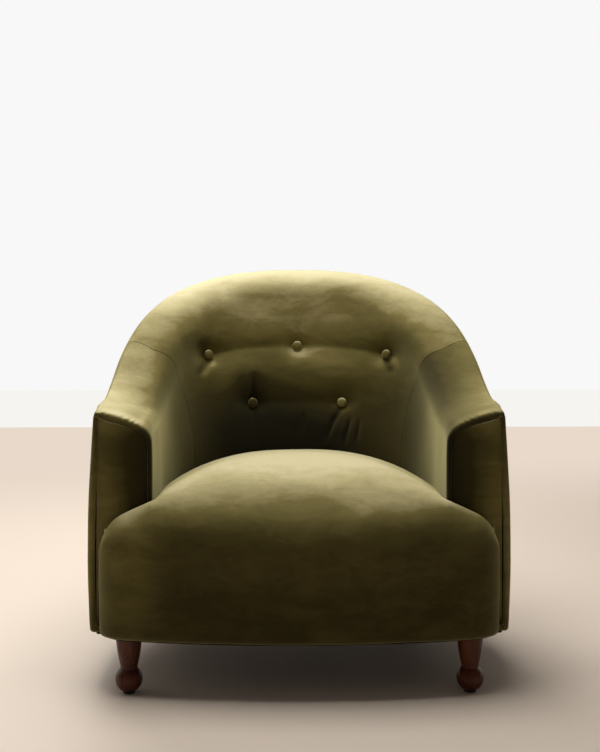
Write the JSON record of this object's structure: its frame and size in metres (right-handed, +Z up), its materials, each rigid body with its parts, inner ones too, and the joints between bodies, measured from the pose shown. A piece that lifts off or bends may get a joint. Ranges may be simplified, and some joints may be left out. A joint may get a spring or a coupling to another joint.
{
  "type": "tufted lounge chair",
  "caption": "Barrel lounge chair with wraparound arms, button tufted back, crowned T-shaped seat and turned ball feet.",
  "frame": {"origin": "on the floor under the middle of the chair's width and depth", "axes": "+Z up, the sitter faces -Y, +X to the right of someone who looks at the chair from the front"},
  "size_m": [0.8964, 0.7834, 0.853],
  "materials": {
    "velvet": "olive green velvet with a short nap",
    "foam": "upholstery foam, not seen",
    "wadding": "polyester wadding, not seen",
    "frame_wood": "plain sawn hardwood, not seen",
    "leg_wood": "dark walnut stain, satin lacquer",
    "steel": "plain wire and hardware, not seen",
    "glide_plastic": "black nylon",
    "webbing": "woven strap, not seen",
    "dust_cloth": "black non-woven cloth",
    "twine": "waxed twine, not seen"
  },
  "bodies": {
    "root": {"seat_cover": "velvet", "inside_arm_cover_left": "velvet", "inside_arm_cover_right": "velvet", "inside_back_cover": "velvet", "arm_front_cover_left": "velvet", "arm_front_cover_right": "velvet", "outside_arm_cover_left": "velvet", "outside_arm_cover_right": "velvet", "outside_back_cover": "velvet", "tuft_buttons": "velvet", "seat_foam": "foam", "arm_foam_left": "foam", "arm_foam_right": "foam", "back_foam": "foam", "seat_front_padding": "wadding", "arm_front_padding_left": "wadding", "arm_front_padding_right": "wadding", "outside_arm_padding_left": "wadding", "outside_arm_padding_right": "wadding", "outside_back_padding": "wadding", "seat_insulator": "wadding", "front_rail": "frame_wood", "side_rail_left": "frame_wood", "side_rail_right": "frame_wood", "back_rail": "frame_wood", "spring_rail": "frame_wood", "arm_front_board_left": "frame_wood", "arm_front_board_right": "frame_wood", "arm_top_rail_left": "frame_wood", "arm_top_rail_right": "frame_wood", "back_top_rail": "frame_wood", "arm_tack_rail_left": "frame_wood", "arm_tack_rail_right": "frame_wood", "back_tack_rail": "frame_wood", "back_post_left": "frame_wood", "back_post_right": "frame_wood", "back_upright_left": "frame_wood", "back_upright_right": "frame_wood", "corner_blocks": "frame_wood", "twine_anchors": "frame_wood", "leg_front_left": "leg_wood", "leg_front_right": "leg_wood", "leg_back_left": "leg_wood", "leg_back_right": "leg_wood", "seat_springs": "steel", "spring_clips": "steel", "hanger_bolts": "steel", "leg_inserts": "steel", "leg_glides": "glide_plastic", "arm_webbing_left": "webbing", "arm_webbing_right": "webbing", "back_webbing": "webbing", "dust_cover": "dust_cloth", "button_twines": "twine"}
  },
  "joints": []
}
